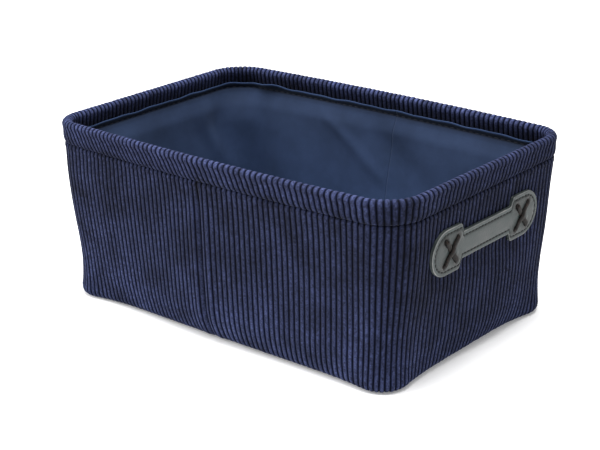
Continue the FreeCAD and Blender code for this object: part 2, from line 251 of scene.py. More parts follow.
def sway(loop, height):
    """How far the soft wall stands out of its straight taper, in millimetres.

    The sides and ends draw in over the board's edge, the base's corners are pushed out, the
    middles wave a little, the seams are sunk, and the handles press the cloth in.  All of it
    dies out at the stitching.
    """
    part, sign_x, sign_y = quarter_share(loop)
    at_corner = np.exp(-((part - (CORNER_START + CORNER_END) / 2) / CORNER_SPREAD) ** 2)
    low = np.clip(1 - height / TUCK_HEIGHT, 0, 1) ** 2
    fade = smooth(STITCH_HEIGHT, STITCH_HEIGHT - 25, height)
    turned_in = -6.0 * low * (1 - at_corner)
    pushed_out = np.where(sign_x == sign_y, 3.2, 0.8) * low * at_corner
    waist = -1.6 * at_corner * np.exp(-((height - WAIST_HEIGHT) / 26) ** 2)
    wave = 1.1 * np.sin(2 * math.pi * (3 * loop + 0.15 + 0.004 * height))
    wave += 0.7 * np.sin(2 * math.pi * (7 * loop + 0.4 - 0.003 * height))
    handle_calm = 1 - np.exp(-((part - 1) / 0.32) ** 4) * smooth(60, 75, height)
    wave = wave * fade * handle_calm * smooth(0, 20, height)
    seam = np.abs(np.mod(loop + SEAM_SHIFT / RIM_RUN + 0.25, 0.5) - 0.25) * RIM_RUN
    sunk = -2.0 * np.exp(-(seam / 1.9) ** 2) * fade
    sunk += 0.8 * np.exp(-((seam - 7) / 4.0) ** 2) * fade
    from_handle = np.abs(np.mod(loop - HANDLE_SHIFT / RIM_RUN, 0.5) - 0.25) * RIM_RUN
    pressed = smooth(HANDLE_HALF_LENGTH + 4, HANDLE_HALF_LENGTH, from_handle)
    pressed = pressed * smooth(PAD_HALF + 4, PAD_HALF, np.abs(height - HANDLE_HEIGHT))
    return turned_in + pushed_out + waist * fade + wave + sunk - HANDLE_PRESS * pressed


def rope(loop):
    """How far the ribs at the rim's crest have twisted round the loop, in millimetres."""
    shares = [-0.35, -0.2, -0.12, -0.06, 0.0, 0.06, 0.11, 0.15, 0.19, 0.25, 0.31, 0.37, 0.5, 0.65]
    twist = [0, -3.5, -9, -11.5, -9.5, -6.5, -4.5, -1, 5, 8, 7.5, 4, -3, 0]
    return np.interp(np.mod(loop + 0.35, 1) - 0.35, shares, twist)


def cloth_profile():
    """The cloth's middle line from the base seam to the facing's edge.

    Rows of (inset, height, crest share, sway share): the crest share is 0 up to the
    stitching and 1 past the crest, and says how far the ribs have twisted.
    """
    edge = BASE_EDGE_TURN
    lift = RIB_HEIGHT
    rows = [(BASE_SEAM_INSET - 0.4, lift, 0, 0.0), (11.5, lift, 0, 0.5), (9.0, lift, 0, 0.9)]
    for angle in np.linspace(-90, 0, 6):
        turn = math.radians(angle)
        inset = lift + edge - edge * math.cos(turn)
        rows.append((inset, lift + edge + edge * math.sin(turn), 0, 1))
    for height in [*np.arange(12, 40, 5.5), *np.arange(42, 122, 8), 126.5, 129.3]:
        rows.append((lift, height, 0, 1))
    for drop in (-3.4, -2.1, -1.3, -0.6, 0.0, 0.6, 1.3, 2.2, 3.6, 5.6, 7.8, 10.2):
        cinch = 1.5 * math.exp(-(drop / 1.1) ** 2) - 0.55 * math.exp(-((drop - 5.5) / 4.0) ** 2)
        cinch -= 0.35 * math.exp(-((drop + 4.5) / 3.0) ** 2)
        share = max(drop, 0) / (BIN_HEIGHT - STITCH_HEIGHT)
        rows.append((lift + cinch, STITCH_HEIGHT + drop, share, 1))
    radius = ROLL_RADIUS - RIB_HEIGHT
    for angle in np.linspace(-14, 180, 12):
        turn = math.radians(angle)
        height = ROLL_HEIGHT + radius * math.sin(turn)
        share = (height - STITCH_HEIGHT) / (BIN_HEIGHT - STITCH_HEIGHT) + max(angle - 80, 0) / 300
        rows.append((ROLL_INSET - radius * math.cos(turn), height, min(share, 1), 0))
    for share in np.linspace(0.2, 1, 4):
        inset = blend_between(ROLL_INSET + radius, 2 * CLOTH - lift, share)
        rows.append((inset, blend_between(ROLL_HEIGHT, STITCH_HEIGHT, share), 1, 0))
    rows.append((2 * CLOTH - lift, FACING_BOTTOM, 1, 0))
    return np.array(rows)


def rib_shape(across):
    """Height of the ribs, 0 in a groove and 1 on a crest: a round top with steep sides."""
    return (1 - np.abs(2 * across - 1) ** 2.4) ** 0.62


def rib_places(ribs):
    """Places across the cloth, counted in ribs and closest together at the grooves."""
    return np.append((np.arange(ribs)[:, None] + RIB_SAMPLES[None, :]).ravel(), ribs)


def length_along(points):
    """The length from the first row to each row, as a mean over the columns of a grid."""
    steps = np.linalg.norm(np.diff(points, axis=0), axis=-1)
    return np.concatenate([[0], np.cumsum(steps.reshape(len(steps), -1).mean(1))])


def add_mesh(name, points, faces, uv=None):
    """A smooth mesh piece from points in millimetres, faces and each point's place on the cloth."""
    mesh = bpy.data.meshes.new(name)
    mesh.vertices.add(len(points))
    mesh.vertices.foreach_set("co", (np.asarray(points, float) * MM).ravel())
    sides = faces.shape[1]
    mesh.loops.add(faces.size)
    mesh.loops.foreach_set("vertex_index", faces.ravel().astype(np.int32))
    mesh.polygons.add(len(faces))
    mesh.polygons.foreach_set("loop_start", np.arange(0, faces.size, sides, dtype=np.int32))
    mesh.update(calc_edges=True)
    mesh.validate()
    mesh.polygons.foreach_set("use_smooth", np.ones(len(mesh.polygons), bool))
    if uv is not None:
        layer = mesh.uv_layers.new(name="cloth")
        corner = np.empty(len(mesh.loops), np.int32)
        mesh.loops.foreach_get("vertex_index", corner)
        layer.data.foreach_set("uv", uv[corner].astype(np.float32).ravel())
    piece = bpy.data.objects.new(name, mesh)
    scene.collection.objects.link(piece)
    return piece


def cloth_piece(name, front, back, across=None, along=None):
    """A cloth from its front and back grids, closed round the edge.

    Its places on the cloth are across, along the columns, and along, down the rows.
    """
    rows, columns = front.shape[:2]
    index = np.arange(rows * columns).reshape(rows, columns)
    quads = np.stack([index[:-1, :-1], index[:-1, 1:], index[1:, 1:], index[1:, :-1]], -1)
    quads = quads.reshape(-1, 4)
    other = rows * columns
    edge = np.concatenate([index[0, :-1], index[:-1, -1], index[-1, :0:-1], index[:0:-1, 0]])
    following = np.roll(edge, -1)
    rim = np.stack([edge, edge + other, following + other, following], -1)
    uv = None
    if across is not None:
        uv = np.tile(np.stack(np.broadcast_arrays(across, along), -1).reshape(-1, 2), (2, 1))
    return add_mesh(name, np.concatenate([front.reshape(-1, 3), back.reshape(-1, 3)]),
                    np.concatenate([quads, quads[:, ::-1] + other, rim]), uv)


def tube_faces(rows, around):
    """Faces of a tube through rings of points."""
    index = np.arange(rows * around).reshape(rows, around)
    after = np.roll(index, -1, axis=1)
    return np.stack([index[:-1], index[1:], after[1:], after[:-1]], -1).reshape(-1, 4)


def surface_normals(grid):
    """Unit normals of a grid of points, from the steps along and across it."""
    normal = np.cross(np.gradient(grid, axis=1), np.gradient(grid, axis=0))
    return normal / np.maximum(np.linalg.norm(normal, axis=2, keepdims=True), 1e-9)


def wall_grid(loop, profile):
    """Points of the wall's cloth for each profile row and each place round the loop."""
    inset, height, crest, swing = [profile[:, [column]] for column in range(4)]
    twisted = loop[None, :] + crest * rope(loop)[None, :] / RIM_RUN
    x, y, out_x, out_y = plan_point(twisted, outline_sizes(height, inset))
    out = sway(twisted, height) * swing
    return np.stack([x + out_x * out, y + out_y * out, np.broadcast_to(height, x.shape)], -1)


def corduroy_panel(side, ribs, material):
    """One panel: the profile carried from seam to seam, raised along its normals by the ribs."""
    start = -SEAM_SHIFT / RIM_RUN + (0 if side == "right" else 0.5)
    across = rib_places(ribs)
    profile = cloth_profile()
    base = wall_grid(start + 0.5 * across / ribs, profile)
    normal = surface_normals(base)
    run = length_along(base)
    random = np.random.default_rng(5 if side == "right" else 6)
    uneven_crests = random.normal(0, 1, (len(profile), ribs + 1))
    uneven_crests[1:-1] = (uneven_crests[:-2] + uneven_crests[1:-1] + uneven_crests[2:]) / 3
    rib_index = np.minimum(across.astype(int), ribs)
    rib = rib_shape(np.mod(across, 1)) * (1 + 0.1 * uneven_crests[:, rib_index])
    front = base + normal * (RIB_HEIGHT * rib)[..., None]
    back = base - normal * (CLOTH - RIB_HEIGHT)
    front[..., 2] = np.maximum(front[..., 2], 0)
    piece = cloth_piece("corduroy_" + side, front, back, across[None, :], run[:, None])
    # The seam attribute is a mask for painted shade in the seams' grooves, on the wall only.
    on_wall = profile[:, [2]] == 0
    seam = np.exp(-(np.minimum(across, ribs - across) / SEAM_PAINTED_SHADE_WIDTH) ** 2) * on_wall
    seam_shade_layer = piece.data.attributes.new("seam", "FLOAT", "POINT")
    seam_shade_layer.data.foreach_set("value", np.concatenate([seam, seam]).ravel().astype(np.float32))
    piece.data.materials.append(material)
    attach(piece, BODY)
    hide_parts("corduroy_panel_" + side)


def wire(tree, source, target, socket):
    """Join an output, given as a node and its name, to another node's input."""
    tree.links.new(source[0].outputs[source[1]], target.inputs[socket])


def add_node(tree, kind, sources=None, values=None, **properties):
    """A node with its inputs' sources, its sockets' values and its properties set by name."""
    node = tree.nodes.new(kind)
    for name, value in properties.items():
        setattr(node, name, value)
    for name, value in (values or {}).items():
        node.inputs[name].default_value = value
    for name, source in (sources or {}).items():
        wire(tree, source, node, name)
    return node


def worked_out(tree, operation, *given):
    """The output of a Math node, from other outputs and plain numbers."""
    node = add_node(tree, "ShaderNodeMath", operation=operation)
    for socket, value in enumerate(given):
        if isinstance(value, tuple):
            wire(tree, value, node, socket)
        else:
            node.inputs[socket].default_value = value
    return node, "Value"


def product(tree, factors):
    """The outputs given, multiplied together in turn."""
    result = factors[0]
    for factor in factors[1:]:
        result = worked_out(tree, "MULTIPLY", result, factor)
    return result


def ranged(tree, source, low, high, to_low, to_high):
    """An output that goes from to_low to to_high as its source goes from low to high."""
    values = {"From Min": low, "From Max": high, "To Min": to_low, "To Max": to_high}
    return add_node(tree, "ShaderNodeMapRange", {"Value": source}, values), "Result"


def ramped(tree, source, stops):
    """An output coloured by its source, with (place, colour or grey) stops."""
    node = add_node(tree, "ShaderNodeValToRGB", {"Fac": source})
    while len(node.color_ramp.elements) < len(stops):
        node.color_ramp.elements.new(0.5)
    for element, (place, colour) in zip(node.color_ramp.elements, stops):
        element.position = place
        element.color = (*np.broadcast_to(colour, 3), 1)
    return node, "Color"


def shaded(tree, colour, factor):
    """A colour output multiplied by a plain one."""
    return add_node(tree, "ShaderNodeVectorMath", {"Vector": colour, "Scale": factor},
                    operation="SCALE"), "Vector"


def finish(tree, shader, colour, height, strength, distance):
    """Give a shader its colour, and a bump that follows a height."""
    wire(tree, colour, shader, "Base Color")
    bump = add_node(tree, "ShaderNodeBump", {"Height": height},
                    {"Strength": strength, "Distance": distance})
    wire(tree, (bump, "Normal"), shader, "Normal")


def unevenness_group():
    """Noise shared by every finish, and a multiplier that follows it from Low to High."""
    group = bpy.data.node_groups.new("unevenness", "ShaderNodeTree")
    group.interface.new_socket("Vector", in_out="INPUT", socket_type="NodeSocketVector")
    for name in ("Scale", "Detail", "Low", "High"):
        group.interface.new_socket(name, in_out="INPUT", socket_type="NodeSocketFloat")
    for name in ("Noise", "Shade"):
        group.interface.new_socket(name, in_out="OUTPUT", socket_type="NodeSocketFloat")
    given = group.nodes.new("NodeGroupInput")
    noise = add_node(group, "ShaderNodeTexNoise",
                     {name: (given, name) for name in ("Vector", "Scale", "Detail")}, {"Roughness": 0.65})
    shade = add_node(group, "ShaderNodeMapRange",
                     {"Value": (noise, "Fac"), "To Min": (given, "Low"), "To Max": (given, "High")},
                     {"From Min": 0.33, "From Max": 0.67})
    add_node(group, "NodeGroupOutput", {"Noise": (noise, "Fac"), "Shade": (shade, "Result")})
    return group


UNEVENNESS = unevenness_group()


def uneven(tree, source, scale, detail=5, low=0.0, high=1.0):
    """The unevenness group in a material, reading its places from source."""
    return add_node(tree, "ShaderNodeGroup", {"Vector": source},
                    {"Scale": scale, "Detail": detail, "Low": low, "High": high}, node_tree=UNEVENNESS)


def corduroy_material():
    """Navy corduroy: pale rubbed crests, grooves painted near-black as shade, uneven patches, clumps
    and short fibres.

    Its colour also carries painted light and shade by area: a painted highlight on the rim's crest,
    painted light on the cuff and towards the low edge, and painted shade in the seams' grooves, up
    the wall, on the right end and on the facing past the crest.
    """
    material, tree, shader = new_material("navy_corduroy", {
        "Roughness": 0.92, "Sheen Weight": 0.06, "Sheen Roughness": 0.35,
        "Sheen Tint": (0.55, 0.6, 0.95, 1), "Specular IOR Level": 0.1})
    place = add_node(tree, "ShaderNodeTexCoord")
    cloth = add_node(tree, "ShaderNodeSeparateXYZ", {"Vector": (place, "UV")})
    spot = add_node(tree, "ShaderNodeSeparateXYZ", {"Vector": (place, "Object")})
    in_rib = worked_out(tree, "FRACT", (cloth, "X"))
    from_crest = worked_out(tree, "ABSOLUTE", worked_out(tree, "SUBTRACT", in_rib, 0.5))
    fibres = uneven(tree, (place, "Object"), 700, 4, 0.35, 1.75)
    ragged = worked_out(tree, "MULTIPLY_ADD", (fibres, "Noise"), 0.30, -0.15)
    # The ramp's near-black groove colours are painted shade in the grooves.
    pile_and_groove_shade = ramped(tree, worked_out(tree, "ADD", from_crest, ragged), [
        (0.0, (0.0195, 0.0245, 0.0560)), (0.24, (0.0150, 0.0190, 0.0460)),
        (0.35, (0.0030, 0.0046, 0.0158)), (0.44, (0.0005, 0.0011, 0.0046))])
    patches = uneven(tree, (place, "Object"), 34, 4, 0.62, 1.42)
    stretch = add_node(tree, "ShaderNodeMapping", {"Vector": (place, "UV")}, {"Scale": (1.6, 0.3, 1)})
    clumps = uneven(tree, (stretch, "Vector"), 1, 3, 0.66, 1.38)
    seam = add_node(tree, "ShaderNodeAttribute", attribute_name="seam")
    profile = cloth_profile()
    crest_run = np.hypot(*np.diff(profile[:, :2], axis=0).T)[:profile[:, 1].argmax()].sum()
    off_crest = worked_out(tree, "ABSOLUTE", worked_out(tree, "SUBTRACT", (cloth, "Y"), crest_run))
    # Random tone times painted light and shade: a painted highlight on the rim's crest, painted light at
    # the foot and painted shade up the wall, painted shade on the right end, painted light on the cuff,
    # painted shade on the facing past the crest and in the seams' grooves.
    shade = product(tree, [
        (patches, "Shade"), (fibres, "Shade"), (clumps, "Shade"),
        ranged(tree, off_crest, 1.5, 7.0, CREST_PAINTED_HIGHLIGHT, 1.0),
        ranged(tree, (spot, "Z"), 0.01, 0.09, FOOT_PAINTED_LIGHT, WALL_PAINTED_SHADE),
        ranged(tree, (spot, "X"), 0.152, 0.17, 1, RIGHT_END_PAINTED_SHADE),
        ranged(tree, (cloth, "Y"), crest_run - 18, crest_run - 15, 1, CUFF_PAINTED_LIGHT),
        ranged(tree, (cloth, "Y"), crest_run + 3, crest_run + 11, 1, FACING_PAINTED_SHADE),
        ranged(tree, (seam, "Fac"), 0, 1, 1, SEAM_PAINTED_SHADE)])
    finish(tree, shader, shaded(tree, pile_and_groove_shade, shade), (fibres, "Noise"), 0.7, 0.0006)
    return material


navy_corduroy = corduroy_material()
corduroy_panel("left", RIBS_LEFT, navy_corduroy)
corduroy_panel("right", RIBS_RIGHT, navy_corduroy)

# ---------------------------- corduroy base
# The same cloth under the board, cut to a round-cornered rectangle and sewn to the wall
# panels' lower edges.  Its ribs run across the base and their crests rest on the table.
RIB_PITCH = RIM_RUN / (RIBS_LEFT + RIBS_RIGHT)


def base_half_depth(x, sizes):
    """Half depth of the outline at x: the side's arc, then the corner's."""
    side_radius, side_centre, corner_x, corner_y, turn = corner_place(*sizes[:3], sizes[TIGHT])
    on_corner = np.abs(x) > side_radius * np.cos(turn)
    corner_rise = np.sqrt(np.maximum(sizes[TIGHT] ** 2 - (np.abs(x) - corner_x) ** 2, 0))
    side_rise = np.sqrt(side_radius**2 - x**2)
    return np.where(on_corner, corner_y + corner_rise, side_centre + side_rise)


base_sizes = outline_sizes(0.0, BASE_SEAM_INSET + 0.2)
base_ribs = 2 * int(base_sizes[0] / RIB_PITCH)
base_across = rib_places(base_ribs)
base_x = (base_across / base_ribs - 0.5) * 2 * base_sizes[0]
base_y = np.linspace(-1, 1, 31)[:, None] * base_half_depth(base_x, base_sizes)[None, :]
base_front = np.stack([np.broadcast_to(base_x, base_y.shape), base_y,
                       RIB_HEIGHT * (1 - rib_shape(np.mod(base_across, 1))) + 0 * base_y], -1)
base_back = base_front.copy()
base_back[..., 2] = CLOTH
base_cloth = cloth_piece("corduroy_base_cloth", base_front[::-1], base_back[::-1],
                         base_across[None, :], base_y[::-1])
base_cloth.data.materials.append(navy_corduroy)
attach(base_cloth, BODY)
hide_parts("corduroy_base")

# ---------------------------- felt, board, wire and patches
# What the cloth hides: two sheets of pale pressed felt between the wall and its lining, the
# grey-brown board in the base, the drawn steel hoop with its crimped sleeve, and the four
# brown patches that the laces pull against.
FELT = 2.2
FELT_TOP = FACING_BOTTOM - 0.5
FELT_BOTTOM = 8.0


def grainy_material(name, low_colour, high_colour, scale, roughness, bump_depth, stretch=(1, 1, 1)):
    """A material whose colour drifts between two tones with a noise, with a bump to match."""
    material, tree, shader = new_material(name, {"Roughness": roughness})
    place = add_node(tree, "ShaderNodeTexCoord")
    spread = add_node(tree, "ShaderNodeMapping", {"Vector": (place, "Object")}, {"Scale": stretch})
    grain = uneven(tree, (spread, "Vector"), scale), "Noise"
    tone = ramped(tree, grain, [(0.35, low_colour), (0.65, high_colour)])
    finish(tree, shader, tone, grain, 0.5, bump_depth)
    return material, shader


pressed_felt = grainy_material(
    "pressed_felt", (0.60, 0.59, 0.55), (0.78, 0.77, 0.73), 420, 0.95, 0.0004)[0]
for side, first in (("right", 0.0), ("left", 0.5)):
    felt_loop = first - SEAM_SHIFT / RIM_RUN + np.linspace(0, 0.5, 160)
    felt_heights = np.linspace(FELT_BOTTOM, FELT_TOP, 40)
    felt_rows = np.stack([felt_heights] * 4, 1)
    felt_rows[:, 2:] = [0, 1]
    layers = []
    for inset in (CLOTH + 0.1, CLOTH + FELT - 0.1):
        felt_rows[:, 0] = inset
        layers.append(wall_grid(felt_loop, felt_rows))
    felt = cloth_piece("felt_" + side, *layers)
    felt.data.materials.append(pressed_felt)
    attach(felt, BODY)
    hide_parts("felt_interlining_" + side)


def dress(node, material):
    """Give a CAD node its material."""
    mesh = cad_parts[node].data
    mesh.materials.clear()
    mesh.materials.append(material)


grey_board = grainy_material(
    "grey_board", (0.40, 0.31, 0.21), (0.55, 0.44, 0.30), 260, 0.9, 0.0002)[0]
drawn_steel, steel_shader = grainy_material(
    "drawn_steel", (0.42, 0.42, 0.43), (0.62, 0.62, 0.63), 900, 0.32, 0.00005, (0.1, 0.1, 1))
steel_shader.inputs["Metallic"].default_value = 1.0
patch_leather = grainy_material(
    "patch_leather", (0.13, 0.09, 0.06), (0.22, 0.16, 0.11), 500, 0.6, 0.0002)[0]
dress("rim_wire", drawn_steel)
dress("rim_wire_sleeve", drawn_steel)
for side in ("left", "right"):
    for order in ("first", "second"):
        dress(f"lace_patch_{side}_{order}", patch_leather)

# ---------------------------- lining
# A bag of plain-woven navy cloth.  Its top edge is folded under and lapped over the corduroy
# facing, the rim's stitching holds it there, and below that it hangs loose: it bellies
# inward, rounds off the corners and creases a little before it meets the floor.
LINING = 0.6
HEM = 1.3
HEM_TOP = BIN_HEIGHT - 14.0
LINING_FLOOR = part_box("lining_base")[1].z / MM
LINING_TURN = 14.0
HEM_SPAN = 80.0
# Painted shade near the lining's top and painted light towards its foot.
LINING_TOP_PAINTED_SHADE, LINING_FOOT_PAINTED_LIGHT = 0.92, 1.45
HEM_DROOP_AT, HEM_LIFT_AT, HEM_PUCKER_AT = 0.345, 0.612, 0.618
# A crease runs between two (place round the rim, height) ends, with its width and depth.
CREASES = [((0.52, 128), (0.44, 70), 12, -1.6), ((0.56, 122), (0.50, 80), 6, 1.6),
           ((0.70, 125), (0.66, 60), 10, 2.2), ((0.41, 118), (0.36, 70), 12, 1.4)]


def lining_crease(loop, height, start, finish, width, depth):
    """A soft ridge along the line between two (loop, height) places, fading at its ends."""
    along = np.array([(finish[0] - start[0]) * RIM_RUN, finish[1] - start[1]])
    span = np.linalg.norm(along)
    offset_x = (np.mod(loop - start[0] + 0.5, 1) - 0.5) * RIM_RUN
    offset_y = height - start[1]
    share = (offset_x * along[0] + offset_y * along[1]) / span**2
    away_from = (offset_x * along[1] - offset_y * along[0]) / span
    ends = smooth(-0.25, 0.2, share) * smooth(1.25, 0.8, share)
    return depth * np.exp(-(away_from / width) ** 2) * ends


def lining_belly(loop, height):
    """How far the lining stands in from the wall, in millimetres."""
    belly = 4 * smooth(STITCH_HEIGHT, STITCH_HEIGHT - 16, height) + 0 * loop
    belly += 8 * np.clip((STITCH_HEIGHT - height) / 95, 0, 1) ** 0.8
    slack = smooth(STITCH_HEIGHT, 100, height)
    belly += 1.6 * np.sin(2 * math.pi * (5 * loop + 0.2)) * slack
    belly += 0.8 * np.sin(2 * math.pi * (11 * loop - 0.006 * height)) * slack
    for crease in CREASES:
        belly += lining_crease(loop, height, *crease)
    return belly


def hem_height(loop):
    """How far the hem's edge stands off its line: small waves, a droop and a lifted corner."""
    droop = -2.2 * np.exp(-((np.mod(loop, 1) - HEM_DROOP_AT) / 0.02) ** 2)
    lift = 2.0 * np.exp(-((np.mod(loop, 1) - HEM_LIFT_AT) / 0.012) ** 2)
    waves = 0.35 * np.sin(2 * math.pi * 23 * loop)
    return droop + lift + waves + 0.25 * np.sin(2 * math.pi * 41 * loop + 1)


def lining_grid(loop, heights, stand_off):
    """Points of the lining's face, stand_off millimetres in from its back."""
    heights = np.asarray(heights, float)[:, None]
    in_hem = smooth(STITCH_HEIGHT - 1, HEM_TOP, heights)
    lifted = heights + in_hem * hem_height(loop)[None, :]
    facing = 2 * CLOTH + 0.2 + np.maximum(heights - STITCH_HEIGHT, 0) * 0.25
    belly = lining_belly(loop[None, :], heights)
    pucker = 3.8 * np.exp(-((np.mod(loop, 1) - HEM_PUCKER_AT) * RIM_RUN / 11) ** 2)[None, :] * in_hem
    pulled = -0.8 * np.exp(-((heights - STITCH_HEIGHT) / 1.1) ** 2)
    floor_turn = np.clip((LINING_FLOOR + LINING_TURN - heights) / LINING_TURN, 0, 1)
    inset = facing + stand_off + pulled + 12 * (1 - np.sqrt(1 - floor_turn**2))
    sizes = list(outline_sizes(heights, inset))
    rounder = 16 * smooth(STITCH_HEIGHT, STITCH_HEIGHT - 30, heights)
    sizes[TIGHT] = sizes[TIGHT] + rounder
    sizes[WIDE] = sizes[WIDE] + rounder
    x, y, out_x, out_y = plan_point(np.broadcast_to(loop[None, :], lifted.shape), sizes)
    inward = belly + pucker
    return np.stack([x - out_x * inward, y - out_y * inward, lifted], -1)


def lining_material():
    """Plain-woven navy cloth: an over-and-under weave, uneven tone, and at the hem a painted
    highlight on the folded edge over a painted dark shadow band.

    The cloth is painted darker near its top and paler towards its foot: painted shade and painted light.
    """
    material, tree, shader = new_material("navy_lining", {
        "Roughness": 0.8, "Sheen Weight": 0.06, "Sheen Roughness": 0.5,
        "Sheen Tint": (0.6, 0.75, 1.0, 1), "Specular IOR Level": 0.15})
    place = add_node(tree, "ShaderNodeTexCoord")
    run = add_node(tree, "ShaderNodeSeparateXYZ", {"Vector": (place, "UV")})
    weave = product(tree, [
        (add_node(tree, "ShaderNodeTexWave", {"Vector": (place, "UV")},
                  {"Scale": 0.5, "Distortion": 0.6, "Detail": 2, "Detail Scale": 1.5},
                  bands_direction=axis), "Fac") for axis in ("X", "Y")])
    patches = uneven(tree, (place, "Object"), 26)
    tone = ramped(tree, (patches, "Noise"), [
        (0.32, (0.0125, 0.0240, 0.0560)), (0.5, (0.0160, 0.0295, 0.0690)),
        (0.7, (0.0205, 0.0370, 0.0840))])
    # The hem ramp paints a highlight on the folded edge and a dark shadow band below it, down past the
    # stitching.
    hem = ramped(tree, worked_out(tree, "DIVIDE", (run, "Y"), HEM_SPAN), [
        (0.0, 2.2), (0.012, 1.8), (0.02, 0.25), (0.065, 0.22), (0.085, 0.7), (0.13, 1.0)])
    # The weave's pattern, then painted shade near the top and painted light towards the foot, then the
    # hem's painted highlight and shadow band.
    shade = product(tree, [ranged(tree, weave, 0, 1, 0.85, 1.12),
                           ranged(tree, (run, "Y"), 15, 75, LINING_TOP_PAINTED_SHADE, LINING_FOOT_PAINTED_LIGHT), hem])
    finish(tree, shader, shaded(tree, tone, shade), weave, 0.4, 0.0002)
    return material


navy_lining = lining_material()
lining_heights = np.concatenate([
    np.linspace(HEM_TOP, STITCH_HEIGHT + 0.6, 7),
    STITCH_HEIGHT + np.array([0.3, 0, -0.3, -0.7, -1.2, -2]),
    np.linspace(STITCH_HEIGHT - 3.2, 100, 16), np.linspace(97, 22, 24),
    LINING_FLOOR + LINING_TURN * (1 - np.sin(np.linspace(0.1, math.pi / 2, 12)))])
for side, first in (("right", 0.0), ("left", 0.5)):
    lining_loop = first - SEAM_SHIFT / RIM_RUN + np.linspace(0, 0.5, 420)
    lining_front = lining_grid(lining_loop, lining_heights, HEM)
    lining_back = lining_grid(lining_loop, lining_heights, HEM - LINING)
    lining_run = length_along(lining_front)
    lining = cloth_piece("lining_" + side, lining_front, lining_back,
                         (lining_loop * RIM_RUN)[None, :], lining_run[:, None])
    lining.data.materials.append(navy_lining)
    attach(lining, BODY)
    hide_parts("lining_panel_" + side)

# ---------------------------- board and lining floor
# The stiff board lies on the base cloth and its edge fills the turn of the wall.  The
# lining's floor lies on it, and its edge meets the lining walls all round.
BOARD = 2.4
BOARD_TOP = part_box("base_board")[0].z / MM + BOARD
BOARD_INSET = 8.5
SAME_PLACE = 1e-7


def close_shell(piece, gap=0.0, drop_slivers=False):
    """Join points that lie within a gap, in metres, and turn the faces outwards."""
    shell = bmesh.new()
    shell.from_mesh(piece.data)
    if gap:
        bmesh.ops.remove_doubles(shell, verts=shell.verts, dist=gap)
    if drop_slivers:
        bmesh.ops.dissolve_degenerate(shell, edges=shell.edges, dist=gap)
    bmesh.ops.recalc_face_normals(shell, faces=shell.faces)
    shell.to_mesh(piece.data)
    shell.free()


def flat_piece(name, edge, low, high, texture_shift=0.0):
    """A closed flat piece from its edge's plan places, in rings that shrink to its middle."""
    shares = np.concatenate([np.linspace(1, 0.9, 4), np.linspace(0.8, 0, 9)])
    rings = [(share, high) for share in shares[::-1]] + [(share, low) for share in shares]
    points = np.concatenate([np.insert(edge * share, 2, height, axis=1) for share, height in rings])
    piece = add_mesh(name, points, tube_faces(len(rings), len(edge)), points[:, :2] + [0, texture_shift])
    close_shell(piece, SAME_PLACE)
    return piece


round_loop = np.linspace(0, 1, 480, endpoint=False)
board_row = np.array([[BOARD_INSET, 3.4, 0, 0.9]])
board_edge = wall_grid(round_loop, board_row)[0][:, :2]
board = flat_piece("board_in_base", board_edge, BOARD_TOP - BOARD, BOARD_TOP)
board.data.materials.append(grey_board)
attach(board, BODY)
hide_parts("base_board")

floor_edge = lining_grid(round_loop, [LINING_FLOOR], HEM)[0][:, :2]
lining_floor = flat_piece("lining_floor", floor_edge, LINING_FLOOR - 0.75, LINING_FLOOR, 400.0)
lining_floor.data.materials.append(navy_lining)
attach(lining_floor, BODY)
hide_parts("lining_base")

# ---------------------------- leather handles
# A strap between two pads at each end of the bin: two layers of grey imitation leather, sewn
# together round the edge, the outer one with a pale cut edge that is partly painted highlight and the
# backing's edge painted dark as shadow.  Each pad is laced to the wall through four punched holes,
# and the lace pulls the leather in a little round them.
SPINE = HANDLE_HALF_LENGTH - PAD_HALF
STRAP_HALF = 10.85
NECK = 32.6
SHOULDER = 35.2
CORNER = 2.6
NECK_CORNER = 1.6
STITCH_INSET = 3.3
BACKING = (0.05 - HANDLE_PRESS, 1.45 - HANDLE_PRESS)
TOP_LAYER = (1.5 - HANDLE_PRESS, 3.1 - HANDLE_PRESS)
PAD_CENTRE = 48.0
HOLE_NEAR, HOLE_FAR, HOLE_RISE = 40.0, 56.0, 10.0
HOLES = [(along, up) for up in (HOLE_RISE, -HOLE_RISE) for along in (HOLE_NEAR, HOLE_FAR)]
AWAY_FROM_HOLES = 20.0
EDGE_OUT = 0.12
EDGE_DROP = 0.55
EDGE_STEP = 0.9
LEATHER_SPAN = 10.0
# The cut edge's pale colour is partly the raw edge's own and partly painted highlight.
CUT_EDGE = (6.4, 4.7, 4.6)
LEATHER_DEPTHS = np.array([0, 0.12, 0.35, 0.7, 1.2, 1.8, 2.3, 2.7, 3.0, 3.3, 3.6, 3.9, 4.3, 4.9, 5.6,
                           *np.linspace(6.4, PAD_HALF, 16)])


def rounded_path(corners, radii, spacing):
    """Points along straight lines between corners, with a round arc of its radius at each."""
    path = [np.array(corners[0], float)]
    for before, corner, after, radius in zip(corners, corners[1:], corners[2:], radii):
        before, corner, after = np.array([before, corner, after], float)
        into = (corner - before) / np.linalg.norm(corner - before)
        out = (after - corner) / np.linalg.norm(after - corner)
        half_turn = np.arccos(np.clip(into @ out, -1, 1)) / 2
        cut = radius * np.tan(half_turn)
        bend = np.linspace(0, 1, 9)[:, None]
        first, last = corner - into * cut, corner + out * cut
        path.extend((1 - bend) ** 2 * first + 2 * bend * (1 - bend) * corner + bend**2 * last)
    path.append(np.array(corners[-1], float))
    path = np.array(path)
    run = length_along(path)
    places = np.linspace(0, run[-1], max(int(run[-1] / spacing), 2) + 1)
    return np.stack([np.interp(places, run, path[:, 0]), np.interp(places, run, path[:, 1])], 1)


